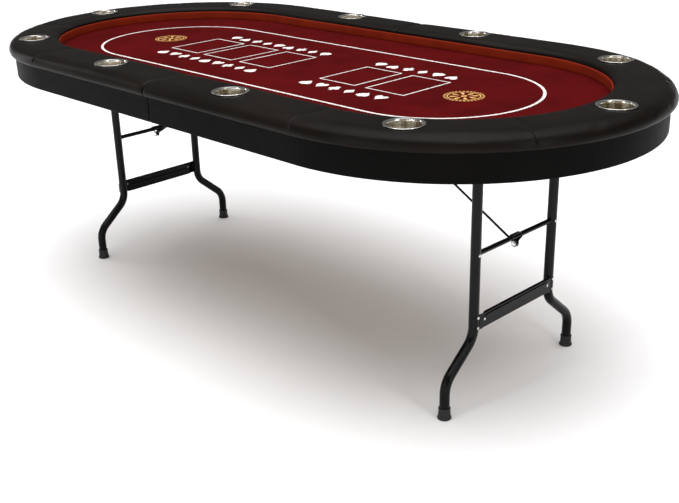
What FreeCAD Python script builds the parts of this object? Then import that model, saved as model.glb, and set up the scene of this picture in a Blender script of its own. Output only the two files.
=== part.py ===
"""Folding oval poker table for ten players, as a parametric FreeCAD document.

Frame: millimetres, +X along the length, +Y across the width, +Z up, with the origin on the
floor under the middle of the fold. The right half is drawn; the left half mirrors it.
"""
import FreeCAD, Part
import math
import os

import Sketcher

# ---------------------------------------------------------------- the dimension sheet

DRIVING = (
    # oval top
    ("half_straight", 533.5),    # fold line to the centre of the rounded end
    ("end_radius", 533.5),       # outer radius of the padded rail at the rounded end
    ("table_height", 762),       # floor to the lips of the cup holders
    ("fold_gap", 1),             # gap between the two halves
    # padded rail
    ("rail_width", 148.5),       # inner wall to outer edge
    ("rail_thick", 38.5),        # crown to underside
    ("inner_wall_tall", 23),     # underside to the top of the inner wall
    ("inner_bevel", 18),         # first slope above the inner wall
    ("crown_margin", 35),        # inner wall to the start of the flat crown
    ("outer_bevel", 30),         # outer edge to the end of the flat crown
    ("shoulder_drop", 18),       # crown down to the outer wall
    ("hem_round", 5),            # bevel under the outer wall
    ("core_thick", 12),
    ("core_inset_inner", 8),
    ("core_inset_outer", 9),
    ("liner_thick", 3.5),
    # playing surface and deck
    ("felt_drop", 2),            # rail underside down to the felt
    ("felt_thick", 13),          # felt with its foam
    ("riser_gap", 3),            # tucked felt to the rail's riser
    ("riser_wall", 7.5),         # cup holes to the inner face of the riser
    ("deck_thick", 12),
    # skirt and battens
    ("apron_thick", 18),
    ("apron_wall", 5.5),         # cup holes to the inner face of the skirt
    ("apron_tall", 67),
    ("beam_thick", 18),
    ("batten_gap", 26),          # leg line to the end batten
    # cup holders
    ("cup_body_dia", 78),
    ("cup_lip", 6),              # how far the lip reaches past the body
    ("cup_sheet", 1.5),
    ("cup_deep", 64),
    ("cup_inward", 4.25),        # middle of the rail's width to the line of cup centres
    ("cup_arm_x", 249),          # fold line to the cups on the straight arms
    ("cup_turn", 62.5),          # angle of the cups on the curve, from the long axis
    ("cup_fit", 0.5),            # radial gap of a cup in its hole
    # legs
    ("leg_x", 745),
    ("leg_half_span", 154.5),
    ("foot_half_span", 258.6),
    ("tube_dia", 25),
    ("tube_wall", 1.5),
    ("pivot_drop", 21),          # deck underside to the leg pivots
    ("bend_top", 208),
    ("bend_bottom", 65),
    ("bend_radius", 60),
    ("crossbar_dia", 12.5),
    ("crossbar_z", 394.7),
    ("stretcher_z", 221),
    ("stretcher_tall", 39),
    ("channel_gap", 1),          # leg tube to the end of the channel's flanges
    ("ridge_out", 2.5),          # how far the pressed ridge stands out
    ("ridge_tall", 13),
    ("sheet_thick", 2),          # pressed steel sheet of stretcher and brackets
    ("flange_deep", 6),
    ("rivet_dia", 5),
    ("rivet_head_dia", 8),
    ("rivet_head_tall", 2),
    ("rivet_edge", 6),           # rivet centres to the edge of the stretcher
    ("inner_rivet_up", 5.4),     # middle of the stretcher up to the inner rivet
    ("foot_dia", 35),
    ("foot_top_dia", 31),
    ("foot_tall", 30),
    ("foot_sole", 6),
    # folding stays
    ("anchor_x", 222),           # fold line to the stay anchors under the deck
    ("stay_pin_drop", 17.7),     # crossbar down to the stay pin
    ("stay_pin_dia", 5),
    ("rod_dia", 6),
    ("rod_eye_thick", 4),        # flattened ends of the rod
    ("eye_dia", 14),
    ("link_thick", 3),
    ("tab_width", 17),
    ("tab_spread", 20),          # half width of the V-shaped tab at the crossbar
    ("tab_slant", 3),            # thickness of its leaning arms, measured across
    ("stay_gap", 0.3),           # side play of the rod in its tab
    ("link_gap", 0.6),           # side play between rod, link and anchor
    # hinges
    ("run_gap", 0.05),           # radial clearance of every turning pin
    ("pivot_bolt_dia", 8),
    ("pivot_head_dia", 14),
    ("pivot_head_tall", 4),
    ("ear_gap", 0.5),            # leg tube to bracket ear
    ("ear_half", 11),
    ("base_half", 24),
    ("hinge_y", 300),
    ("hinge_long", 80),
    ("knuckle_dia", 8),
    ("knuckle_gap", 0.4),
    ("hinge_pin_dia", 4),
    ("leaf_wide", 16.5),
)

DERIVED = (
    ("face_x", "=fold_gap / 2"),
    ("arm_long", "=half_straight - face_x"),
    ("crown_z", "=table_height - cup_sheet"),
    ("rail_under_z", "=crown_z - rail_thick"),
    ("rail_inner", "=end_radius - rail_width"),
    ("wall_top_z", "=rail_under_z + inner_wall_tall"),
    ("bevel_z", "=crown_z - (crown_z - wall_top_z) / 4"),
    ("bevel_in", "=rail_inner + inner_bevel"),
    ("crown_in", "=rail_inner + crown_margin"),
    ("crown_out", "=end_radius - outer_bevel"),
    ("shoulder_r", "=end_radius - outer_bevel / 4"),
    ("shoulder_z", "=crown_z - shoulder_drop / 3"),
    ("outer_top_z", "=crown_z - shoulder_drop"),
    ("hem_z", "=rail_under_z + hem_round"),
    ("hem_r", "=end_radius - hem_round"),
    ("core_in", "=rail_inner + core_inset_inner"),
    ("core_out", "=end_radius - core_inset_outer"),
    ("core_top_z", "=rail_under_z + core_thick"),
    ("liner_in", "=rail_inner - liner_thick"),
    ("felt_z", "=rail_under_z - felt_drop"),
    ("deck_top_z", "=felt_z - felt_thick"),
    ("deck_z", "=deck_top_z - deck_thick"),
    ("cup_track", "=end_radius - rail_width / 2 - cup_inward"),
    ("cup_body", "=cup_body_dia / 2"),
    ("cup_hole", "=cup_body + cup_fit"),
    ("riser_in", "=cup_track - cup_hole - riser_wall"),
    ("felt_r", "=riser_in - riser_gap"),
    ("apron_in", "=cup_track + cup_hole + apron_wall"),
    ("apron_out", "=apron_in + apron_thick"),
    ("apron_z", "=rail_under_z - apron_tall"),
    ("batten_x", "=leg_x + batten_gap"),
    ("batten_half", "=sqrt(apron_in ^ 2 - (batten_x + beam_thick - half_straight) ^ 2)"),
    ("cup_curve_x", "=half_straight + cup_track * cos(cup_turn)"),
    ("cup_curve_y", "=cup_track * sin(cup_turn)"),
    ("cup_nose_x", "=half_straight + cup_track"),
    ("cup_rim", "=cup_body + cup_lip"),
    ("cup_bore", "=cup_body - cup_sheet"),
    ("cup_z", "=table_height - cup_deep"),
    ("cup_floor_z", "=cup_z + cup_sheet"),
    ("tube_r", "=tube_dia / 2"),
    ("tube_bore", "=tube_r - tube_wall"),
    ("bolt_hole", "=pivot_bolt_dia / 2 + run_gap"),
    ("pivot_z", "=deck_z - pivot_drop"),
    ("tube_top_z", "=pivot_z + tube_r"),
    ("bracket_z", "=deck_z - sheet_thick"),
    ("ear_in", "=tube_r + ear_gap"),
    ("ear_out", "=ear_in + sheet_thick"),
    ("foot_r", "=foot_dia / 2"),
    ("foot_top_r", "=foot_top_dia / 2"),
    ("stretcher_x", "=leg_x + tube_r"),
    ("stretcher_half", "=leg_half_span + tube_r"),
    ("channel_half", "=leg_half_span - tube_r - channel_gap"),
    ("stretcher_low_z", "=stretcher_z - stretcher_tall / 2"),
    ("rivet_out", "=stretcher_tall / 2 - rivet_edge"),
    ("ridge_half", "=channel_half - tube_dia"),
    ("stay_pin_z", "=crossbar_z - stay_pin_drop"),
    ("stay_reach", "=leg_x - anchor_x"),
    ("stay_drop", "=pivot_z - stay_pin_z"),
    ("stay_long", "=sqrt(stay_reach ^ 2 + stay_drop ^ 2)"),
    ("link_long", "=(stay_long - stay_reach + stay_drop) / 2"),
    ("rod_long", "=(stay_long + stay_reach - stay_drop) / 2"),
    ("tab_in", "=rod_dia / 2 + stay_gap"),
    ("tab_out", "=tab_in + sheet_thick"),
    ("tab_low_z", "=stay_pin_z - tab_width / 2"),
    ("tab_bend_z", "=stay_pin_z + eye_dia / 2"),
    ("tab_top_in", "=tab_spread - tab_slant"),
    ("link_y", "=rod_dia / 2 + link_gap"),
    ("anchor_y", "=link_y + link_thick + link_gap"),
    ("knuckle_r", "=knuckle_dia / 2"),
    ("knuckle_clear", "=knuckle_r + knuckle_gap"),
)

KNUCKLES = 5                     # per hinge; the left leaf has three of them
SIDES = (-1, 1)
X_AXIS, Y_AXIS, Z_AXIS = (FreeCAD.Vector(*v) for v in ((1, 0, 0), (0, 1, 0), (0, 0, 1)))
AXES = {"x": FreeCAD.Rotation(Y_AXIS, 90), "y": FreeCAD.Rotation(X_AXIS, -90),
        "z": FreeCAD.Rotation()}

doc = FreeCAD.newDocument("poker_table")
sheet = doc.addObject("Spreadsheet::Sheet", "dims")
nodes = []


def fill_sheet():
    for row, (alias, content) in enumerate(DRIVING + DERIVED, start=1):
        sheet.set(f"A{row}", alias)
        sheet.set(f"B{row}", str(content))
        sheet.setAlias(f"B{row}", alias)
        doc.recompute()


def size(alias):
    """The value of one named dimension, in mm."""
    value = sheet.get(alias)
    return float(getattr(value, "Value", value))


def bind(obj, **expressions):
    """Bind properties to sheet expressions; a double underscore stands for a dot."""
    for path, expression in expressions.items():
        obj.setExpression(path.replace("__", "."), expression)


def place(obj, x="0", y="0", z="0", rotation=None):
    if rotation:
        obj.Placement = FreeCAD.Placement(FreeCAD.Vector(), rotation)
    bind(obj, Placement__Base__x=x, Placement__Base__y=y, Placement__Base__z=z)
    return obj


def node(obj, label):
    """Make an object one of the part's nodes, with the name of its file."""
    obj.Label = label
    nodes.append(obj)
    return obj


# ---------------------------------------------------------------- sketches and solids

def body_for(label):
    return node(doc.addObject("PartDesign::Body", label), label)


def sketch_on(body, name, role, offset=None):
    """A sketch on one of the body's own origin planes, moved out by a named dimension."""
    sketch = body.newObject("Sketcher::SketchObject", name)
    plane = next(f for f in body.Origin.OriginFeatures if f.Role == role)
    sketch.AttachmentSupport = [(plane, "")]
    sketch.MapMode = "FlatFace"
    if offset:
        sketch.setExpression("AttachmentOffset.Base.z", f"dims.{offset}")
    return sketch


def coordinate(alias):
    """The value of a signed dimension name, such as "leg_x" or "-leg_x" or "0"."""
    if alias == "0":
        return 0.0
    return -size(alias[1:]) if alias.startswith("-") else size(alias)


def pin_point(sketch, geometry, point, place_x, place_y):
    """Hold a point of the sketch at two named coordinates."""
    origin = (-1, 1)
    for kind, alias, axis in (("DistanceX", place_x, -2), ("DistanceY", place_y, -1)):
        if alias == "0":
            sketch.addConstraint(Sketcher.Constraint("PointOnObject", geometry, point, axis))
            continue
        ends = (geometry, point, *origin) if alias.startswith("-") else (*origin, geometry, point)
        value = abs(coordinate(alias))
        index = sketch.addConstraint(Sketcher.Constraint(kind, *ends, value))
        sketch.setExpression(f"Constraints[{index}]", f"dims.{alias.lstrip('-')}")


def outline(sketch, points):
    """A closed polygon whose corners are pairs of named coordinates."""
    first = sketch.GeometryCount
    corners = [FreeCAD.Vector(coordinate(x), coordinate(y), 0) for x, y in points]
    for start, end in zip(corners, corners[1:] + corners[:1]):
        sketch.addGeometry(Part.LineSegment(start, end), False)
    for index, (x, y) in enumerate(points):
        before = first + (index - 1) % len(points)
        sketch.addConstraint(Sketcher.Constraint("Coincident", before, 2, first + index, 1))
        pin_point(sketch, first + index, 1, x, y)
    return sketch


def circle(sketch, x, y, radius):
    centre = FreeCAD.Vector(coordinate(x), coordinate(y), 0)
    index = sketch.addGeometry(Part.Circle(centre, Z_AXIS, size(radius)), False)
    pin_point(sketch, index, 3, x, y)
    constraint = sketch.addConstraint(Sketcher.Constraint("Radius", index, size(radius)))
    sketch.setExpression(f"Constraints[{constraint}]", f"dims.{radius}")


def end_outline(sketch, radius):
    """Half a stadium: from the fold face round the end, with the named radius."""
    face, far, rad = size("face_x"), size("half_straight"), size(radius)
    near_side, far_side = FreeCAD.Vector(far, -rad, 0), FreeCAD.Vector(far, rad, 0)
    near_face, far_face = FreeCAD.Vector(face, -rad, 0), FreeCAD.Vector(face, rad, 0)
    end = Part.Circle(FreeCAD.Vector(far, 0, 0), Z_AXIS, rad)
    sketch.addGeometry(Part.LineSegment(near_face, near_side), False)
    sketch.addGeometry(Part.ArcOfCircle(end, -math.pi / 2, math.pi / 2), False)
    sketch.addGeometry(Part.LineSegment(far_side, far_face), False)
    sketch.addGeometry(Part.LineSegment(far_face, near_face), False)
    for first, last in ((0, 1), (1, 2), (2, 3), (3, 0)):
        sketch.addConstraint(Sketcher.Constraint("Coincident", first, 2, last, 1))
    pin_point(sketch, 0, 1, "face_x", f"-{radius}")
    pin_point(sketch, 1, 1, "half_straight", f"-{radius}")
    pin_point(sketch, 1, 2, "half_straight", radius)
    pin_point(sketch, 2, 2, "face_x", radius)
    sketch.addConstraint(Sketcher.Constraint("Vertical", 1, 1, 1, 3))


def pad(body, sketch, expression, backwards=False, middle=False):
    feature = body.newObject("PartDesign::Pad", f"{body.Name}_pad")
    feature.Profile = sketch
    feature.Reversed = backwards
    feature.Midplane = middle
    feature.setExpression("Length", expression)
    return feature


def revolve(body, sketch, angle=360, backwards=False):
    feature = body.newObject("PartDesign::Revolution", f"{body.Name}_turn")
    feature.Profile = sketch
    feature.ReferenceAxis = (sketch, ["V_Axis"])
    feature.Angle = angle
    feature.Reversed = backwards
    return feature


def cut_through(body, sketch):
    feature = body.newObject("PartDesign::Pocket", f"{body.Name}_holes")
    feature.Profile = sketch
    feature.Midplane = True
    feature.Type = "ThroughAll"
    return feature


def box(name, corner, lengths):
    """A Part::Box from six sheet expressions."""
    solid = doc.addObject("Part::Box", name)
    bind(solid, Length=lengths[0], Width=lengths[1], Height=lengths[2])
    return place(solid, *corner)


def rod(name, axis, centre, radius, length):
    """A Part::Cylinder along one axis, from its start point."""
    solid = doc.addObject("Part::Cylinder", name)
    bind(solid, Radius=radius, Height=length)
    return place(solid, *centre, rotation=AXES[axis])


def joined(name, solids):
    fuse = doc.addObject("Part::MultiFuse", name)
    fuse.Shapes = solids
    fuse.Refine = True
    return fuse


def less(name, base, tools):
    """The base with every tool cut out of it."""
    for index, tool in enumerate(tools):
        cut = doc.addObject("Part::Cut", f"{name}_{index}")
        cut.Base, cut.Tool = base, tool
        base = cut
    return base


def group(name, solids):
    compound = doc.addObject("Part::Compound", name)
    compound.Links = solids
    return compound


def mirrored(source, name, normal):
    copy = doc.addObject("Part::Mirroring", name)
    copy.Source = source
    copy.Normal = normal
    return copy


# ---------------------------------------------------------------- the oval top

def ring_half(label, section):
    """A piece that follows the rail round one half: a turned end and two straight arms."""
    body = body_for(label)
    sketch = outline(sketch_on(body, f"{label}_section", "YZ_Plane", "half_straight"), section)
    revolve(body, sketch, angle=180, backwards=True)
    arm = pad(body, sketch, "dims.arm_long", backwards=True)
    doc.recompute()
    other_arm = body.newObject("PartDesign::Mirrored", f"{label}_arm")
    other_arm.Originals = [arm]
    plane = next(f for f in body.Origin.OriginFeatures if f.Role == "XZ_Plane")
    other_arm.MirrorPlane = (plane, [""])
    body.Tip = other_arm
    return body


def plate_half(label, radius, low, thick):
    body = body_for(label)
    sketch = sketch_on(body, f"{label}_outline", "XY_Plane", low)
    end_outline(sketch, radius)
    pad(body, sketch, f"dims.{thick}")
    return body


CUPS = (
    ("nose", "cup_nose_x", "0"),
    ("front_curve", "cup_curve_x", "-cup_curve_y"),
    ("rear_curve", "cup_curve_x", "cup_curve_y"),
    ("front_arm", "cup_arm_x", "-cup_track"),
    ("rear_arm", "cup_arm_x", "cup_track"),
)


def cup_holes(body):
    doc.recompute()
    sketch = sketch_on(body, f"{body.Name}_cups", "XY_Plane", "core_top_z")
    for _, x, y in CUPS:
        circle(sketch, x, y, "cup_hole")
    body.Tip = cut_through(body, sketch)


def rail_pad():
    """Padded vinyl cover and foam, open below where the rail core fills it."""
    cup_holes(ring_half("rail_pad_right", (
        ("rail_inner", "rail_under_z"), ("rail_inner", "wall_top_z"), ("bevel_in", "bevel_z"),
        ("crown_in", "crown_z"), ("crown_out", "crown_z"), ("shoulder_r", "shoulder_z"),
        ("end_radius", "outer_top_z"), ("end_radius", "hem_z"), ("hem_r", "rail_under_z"),
        ("core_out", "rail_under_z"), ("core_out", "core_top_z"), ("core_in", "core_top_z"),
        ("core_in", "rail_under_z"))))


def rail_core():
    """Wooden rail blank with the riser that stands on the deck."""
    cup_holes(ring_half("rail_core_right", (
        ("riser_in", "deck_top_z"), ("riser_in", "rail_under_z"), ("core_in", "rail_under_z"),
        ("core_in", "core_top_z"), ("core_out", "core_top_z"), ("core_out", "rail_under_z"),
        ("apron_in", "rail_under_z"), ("apron_in", "deck_top_z"))))


def rail_liner():
    """Fabric-covered strip on the inner wall of the rail, standing on the felt."""
    ring_half("rail_liner_right", (
        ("liner_in", "felt_z"), ("rail_inner", "felt_z"), ("rail_inner", "wall_top_z"),
        ("liner_in", "wall_top_z")))


def apron():
    """Skirt under the rail."""
    ring_half("apron_right", (
        ("apron_in", "apron_z"), ("apron_out", "apron_z"), ("apron_out", "rail_under_z"),
        ("apron_in", "rail_under_z")))


def deck():
    cup_holes(plate_half("deck_panel_right", "apron_in", "deck_z", "deck_thick"))


def playing_surface():
    plate_half("playing_surface_right", "felt_r", "deck_top_z", "felt_thick")


def cup_holder(place_name, x, y):
    """A turned steel cup whose lip lies on the crown of the rail."""
    label = f"cup_holder_right_{place_name}"
    body = body_for(label)
    sketch = outline(sketch_on(body, f"{label}_section", "XZ_Plane"), (
        ("0", "cup_z"), ("cup_body", "cup_z"), ("cup_body", "crown_z"), ("cup_rim", "crown_z"),
        ("cup_rim", "table_height"), ("cup_bore", "table_height"), ("cup_bore", "cup_floor_z"),
        ("0", "cup_floor_z")))
    revolve(body, sketch)
    bind(body, Placement__Base__x=f"dims.{x}")
    if y != "0":
        bind(body, Placement__Base__y=y.replace("cup", "dims.cup"))


def battens():
    """The beam along the fold and the batten across the rounded end, under the deck."""
    tall = "dims.deck_z - dims.apron_z"
    beam = box("beam_blank", ("dims.face_x", "-dims.apron_in", "dims.apron_z"),
               ("dims.beam_thick", "2 * dims.apron_in", tall))
    recesses = []
    for side in SIDES:
        start = f"{side} * dims.hinge_y - dims.hinge_long / 2 - dims.knuckle_gap"
        long = "dims.hinge_long + 2 * dims.knuckle_gap"
        recesses.append(rod("knuckle_relief", "y", ("0", start, "dims.apron_z"),
                            "dims.knuckle_clear", long))
        recesses.append(box("leaf_recess", ("0", start, "dims.apron_z"),
                            ("dims.leaf_wide + dims.knuckle_gap", long, "dims.sheet_thick")))
    node(less("fold_beam", beam, recesses), "fold_beam_right")
    node(box("end_batten", ("dims.batten_x", "-dims.batten_half", "dims.apron_z"),
             ("dims.beam_thick", "2 * dims.batten_half", tall)), "end_batten_right")


# ---------------------------------------------------------------- the centre hinges

def hinge_leaf(side, centre, first, bore):
    """One leaf: its plate in the beam's recess and its share of the knuckles."""
    step = f"(dims.hinge_long / {KNUCKLES})"
    start = f"({centre} * dims.hinge_y - dims.hinge_long / 2)"
    plate_x = "dims.knuckle_clear" if side > 0 else "-dims.leaf_wide"
    solids = [box("leaf", (plate_x, start, "dims.apron_z"),
                  ("dims.leaf_wide - dims.knuckle_clear", "dims.hinge_long",
                   "dims.sheet_thick"))]
    bores = []
    for index in range(first, KNUCKLES, 2):
        low = f"{start} + {index} * {step} + dims.knuckle_gap / 2"
        long = f"{step} - dims.knuckle_gap"
        bridge_x = "0" if side > 0 else "-dims.knuckle_clear"
        solids.append(rod("knuckle", "y", ("0", low, "dims.apron_z"), "dims.knuckle_r", long))
        solids.append(box("bridge", (bridge_x, low, "dims.apron_z"),
                          ("dims.knuckle_clear", long, "dims.sheet_thick")))
        bores.append(rod("bore", "y", ("0", low, "dims.apron_z"), bore, long))
    return less("hinge_leaf", joined("leaf_blank", solids), bores)


def centre_hinges():
    pin_radius = "dims.hinge_pin_dia / 2"
    leaves = {"left": (-1, 0, pin_radius), "right": (1, 1, f"{pin_radius} + dims.run_gap")}
    for name, (side, first, bore) in leaves.items():
        pair = [hinge_leaf(side, centre, first, bore) for centre in SIDES]
        node(group(f"leaves_{name}", pair), f"hinge_leaves_{name}")
    pins = [rod("pin", "y", ("0", f"{centre} * dims.hinge_y - dims.hinge_long / 2",
                             "dims.apron_z"), pin_radius, "dims.hinge_long")
            for centre in SIDES]
    node(group("pins", pins), "hinge_pins")


# ---------------------------------------------------------------- the folding legs

def leg_tube():
    """A hollow leg: straight down, an S-bend outwards, and straight to the foot."""
    label = "leg_tube_right_rear"
    body = body_for(label)
    path = sketch_on(body, f"{label}_path", "YZ_Plane", "leg_x")
    in_y, out_y = size("leg_half_span"), size("foot_half_span")
    top, high, low = size("tube_top_z"), size("bend_top"), size("bend_bottom")
    radius, bottom = size("bend_radius"), size("foot_sole")
    shift, fall = 2 * radius - (out_y - in_y), high - low
    straight = math.sqrt(shift ** 2 + fall ** 2 - 4 * radius ** 2)
    turn = math.atan2(fall, shift) - math.atan2(straight, 2 * radius)
    upper = Part.Circle(FreeCAD.Vector(in_y + radius, high, 0), Z_AXIS, radius)
    lower = Part.Circle(FreeCAD.Vector(out_y - radius, low, 0), Z_AXIS, radius)
    lean = FreeCAD.Vector(radius * math.cos(turn), radius * math.sin(turn), 0)
    upper_end, lower_end = upper.Center - lean, lower.Center + lean
    path.addGeometry(Part.LineSegment(FreeCAD.Vector(in_y, top, 0),
                                      FreeCAD.Vector(in_y, high, 0)), False)
    path.addGeometry(Part.ArcOfCircle(upper, math.pi, math.pi + turn), False)
    path.addGeometry(Part.LineSegment(upper_end, lower_end), False)
    path.addGeometry(Part.ArcOfCircle(lower, 0, turn), False)
    path.addGeometry(Part.LineSegment(FreeCAD.Vector(out_y, low, 0),
                                      FreeCAD.Vector(out_y, bottom, 0)), False)
    for joint in ((0, 2, 1, 1), (1, 2, 2, 1), (2, 2, 3, 2), (3, 1, 4, 1)):
        path.addConstraint(Sketcher.Constraint("Tangent", *joint))
    for arc in (1, 3):
        index = path.addConstraint(Sketcher.Constraint("Radius", arc, radius))
        path.setExpression(f"Constraints[{index}]", "dims.bend_radius")
    pin_point(path, 0, 1, "leg_half_span", "tube_top_z")
    pin_point(path, 0, 2, "leg_half_span", "bend_top")
    pin_point(path, 4, 1, "foot_half_span", "bend_bottom")
    pin_point(path, 4, 2, "foot_half_span", "foot_sole")
    ring = sketch_on(body, f"{label}_ring", "XY_Plane", "tube_top_z")
    circle(ring, "leg_x", "leg_half_span", "tube_r")
    circle(ring, "leg_x", "leg_half_span", "tube_bore")
    doc.recompute()
    pipe = body.newObject("PartDesign::AdditivePipe", f"{label}_pipe")
    pipe.Profile = ring
    pipe.Spine = (path, [f"Edge{index}" for index in range(1, 6)])
    doc.recompute()
    bolt = sketch_on(body, f"{label}_bolt", "XZ_Plane")
    circle(bolt, "leg_x", "pivot_z", "bolt_hole")
    cut_through(body, bolt)
    return body


def foot_tip():
    """A flared rubber tip pushed onto the tube."""
    body = body_for("foot_tip_right_rear")
    sketch = outline(sketch_on(body, "foot_section", "XZ_Plane"), (
        ("0", "0"), ("foot_r", "0"), ("foot_top_r", "foot_tall"), ("tube_r", "foot_tall"),
        ("tube_r", "foot_sole"), ("0", "foot_sole")))
    revolve(body, sketch)
    bind(body, Placement__Base__x="dims.leg_x", Placement__Base__y="dims.foot_half_span")
    return body


def crossbar():
    """A thin round bar, coped onto both tubes."""
    bar = rod("bar", "y", ("dims.leg_x", "-dims.leg_half_span", "dims.crossbar_z"),
              "dims.crossbar_dia / 2", "2 * dims.leg_half_span")
    copes = [rod("cope", "z", ("dims.leg_x", f"{side} * dims.leg_half_span",
                               "dims.crossbar_z - dims.crossbar_dia"),
                 "dims.tube_r", "2 * dims.crossbar_dia") for side in SIDES]
    node(less("crossbar", bar, copes), "crossbar_right")


def rivet_places():
    """Three rivets at each end: two over the tube and one beside it."""
    over_tube, beside_tube = "dims.leg_half_span", "(dims.leg_half_span - dims.tube_dia)"
    for side in SIDES:
        for out, up in ((over_tube, "-dims.rivet_out"), (over_tube, "dims.rivet_out"),
                        (beside_tube, "dims.inner_rivet_up")):
            yield f"{side} * {out}", f"dims.stretcher_z + {up}"


def stretcher():
    """A pressed channel over the outer side of both tubes, with a raised ridge."""
    web = box("web", ("dims.stretcher_x", "-dims.stretcher_half", "dims.stretcher_low_z"),
              ("dims.sheet_thick", "2 * dims.stretcher_half", "dims.stretcher_tall"))
    flanges = [box("flange", ("dims.stretcher_x - dims.flange_deep", "-dims.channel_half", low_z),
                   ("dims.flange_deep + dims.sheet_thick", "2 * dims.channel_half",
                    "dims.sheet_thick"))
               for low_z in ("dims.stretcher_low_z",
                             "dims.stretcher_low_z + dims.stretcher_tall - dims.sheet_thick")]
    outer_x = "dims.stretcher_x + dims.sheet_thick"
    ridge = box("ridge", (outer_x, "-dims.ridge_half", "dims.stretcher_z"),
                ("dims.ridge_out", "2 * dims.ridge_half", "dims.ridge_tall"))
    holes, rivets = [], []
    for y, z in rivet_places():
        shank, hole = (rod(name, "x", ("dims.stretcher_x", y, z), "dims.rivet_dia / 2",
                           "dims.sheet_thick") for name in ("rivet_shank", "rivet_hole"))
        head = rod("rivet_head", "x", (outer_x, y, z), "dims.rivet_head_dia / 2",
                   "dims.rivet_head_tall")
        holes.append(hole)
        rivets.append(joined("rivet", [shank, head]))
    channel = joined("channel", [web, ridge, *flanges])
    node(less("stretcher", channel, holes), "stretcher_right")
    node(group("rivets", rivets), "stretcher_rivets_right")


def leg_brackets():
    """A two-eared bracket under the deck for each tube, and the bolts the legs turn on."""
    brackets, bolts = [], []
    for side in SIDES:
        middle = f"{side} * dims.leg_half_span"
        base = box("bracket_base", ("dims.leg_x - dims.base_half", f"{middle} - dims.ear_out",
                                    "dims.bracket_z"),
                   ("2 * dims.base_half", "2 * dims.ear_out", "dims.sheet_thick"))
        parts, holes = [base], []
        for ear in ("-dims.ear_out", "dims.ear_in"):
            start = f"{middle} + {ear}"
            parts.append(box("ear", ("dims.leg_x - dims.ear_half", start, "dims.pivot_z"),
                             ("2 * dims.ear_half", "dims.sheet_thick",
                              "dims.bracket_z - dims.pivot_z")))
            parts.append(rod("ear_end", "y", ("dims.leg_x", start, "dims.pivot_z"),
                             "dims.ear_half", "dims.sheet_thick"))
            holes.append(rod("ear_hole", "y", ("dims.leg_x", start, "dims.pivot_z"),
                             "dims.pivot_bolt_dia / 2", "dims.sheet_thick"))
        brackets.append(less("bracket", joined("bracket_blank", parts), holes))
        bolts.append(bolt("dims.leg_x", middle, "dims.pivot_z", "dims.ear_out",
                          "dims.pivot_bolt_dia / 2", "dims.pivot_head_dia / 2",
                          "dims.pivot_head_tall"))
    node(group("brackets", brackets), "leg_brackets_right")
    node(group("pivot_bolts", bolts), "leg_pivot_bolts_right")


def bolt(x, y, z, half, radius, head_radius, head_tall):
    """A headed pin along Y with a nut: half is its grip from the middle to one face."""
    shank = rod("shank", "y", (x, f"{y} - {half}", z), radius, f"2 * {half}")
    head = rod("head", "y", (x, f"{y} - {half} - {head_tall}", z), head_radius, head_tall)
    nut = rod("nut", "y", (x, f"{y} + {half}", z), head_radius, head_tall)
    return joined("bolt", [shank, head, nut])


# ---------------------------------------------------------------- the folding stays

def stay_tab():
    """A V-shaped strap under the crossbar, whose two arms hold the rod's eye, and its bolt."""
    arms = doc.addObject("PartDesign::Body", "tab_arms")
    sketch = sketch_on(arms, "tab_section", "YZ_Plane", "leg_x")
    for sign in ("", "-"):
        outline(sketch, ((f"{sign}tab_in", "tab_low_z"), (f"{sign}tab_out", "tab_low_z"),
                         (f"{sign}tab_out", "tab_bend_z"), (f"{sign}tab_spread", "crossbar_z"),
                         (f"{sign}tab_top_in", "crossbar_z"), (f"{sign}tab_in", "tab_bend_z")))
    pad(arms, sketch, "dims.tab_width", middle=True)
    half = "(dims.tab_spread + dims.sheet_thick)"
    sleeve = rod("tab_sleeve", "y", ("dims.leg_x", f"-{half}", "dims.crossbar_z"),
                 "dims.crossbar_dia / 2 + dims.sheet_thick", f"2 * {half}")
    node(less("tab", joined("tab_blank", [sleeve, arms]), [
        rod("bar_hole", "y", ("dims.leg_x", f"-{half}", "dims.crossbar_z"),
            "dims.crossbar_dia / 2", f"2 * {half}"),
        rod("pin_hole", "y", ("dims.leg_x", "-dims.tab_out", "dims.stay_pin_z"),
            "dims.stay_pin_dia / 2", "2 * dims.tab_out")]), "stay_tab_right")
    node(bolt("dims.leg_x", "0", "dims.stay_pin_z", "dims.tab_out", "dims.stay_pin_dia / 2",
              "dims.stay_pin_dia", "dims.stay_pin_dia / 2"), "stay_bolt_right")


def stay_rod():
    """The long rod: round, with a flattened eye at each end. It is drawn along its own Z."""
    ends = ("0", "dims.rod_long")
    eye_y = "-dims.rod_eye_thick / 2"
    eyes = [rod("rod_eye", "y", ("0", eye_y, z), "dims.eye_dia / 2", "dims.rod_eye_thick")
            for z in ends]
    holes = [rod("rod_hole", "y", ("0", eye_y, z), "dims.stay_pin_dia / 2 + dims.run_gap",
                 "dims.rod_eye_thick") for z in ends]
    bite = "(dims.eye_dia - dims.rod_dia / 2) / 2"
    shank = rod("rod_shank", "z", ("0", "0", bite), "dims.rod_dia / 2",
                f"dims.rod_long - 2 * {bite}")
    solid = less("stay_rod", joined("rod_blank", [shank, *eyes]), holes)
    lean = math.degrees(math.atan2(size("stay_drop"), size("stay_reach")))
    place(solid, "dims.leg_x", "0", "dims.stay_pin_z", FreeCAD.Rotation(Y_AXIS, lean - 90))
    node(solid, "stay_rod_right")


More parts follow.
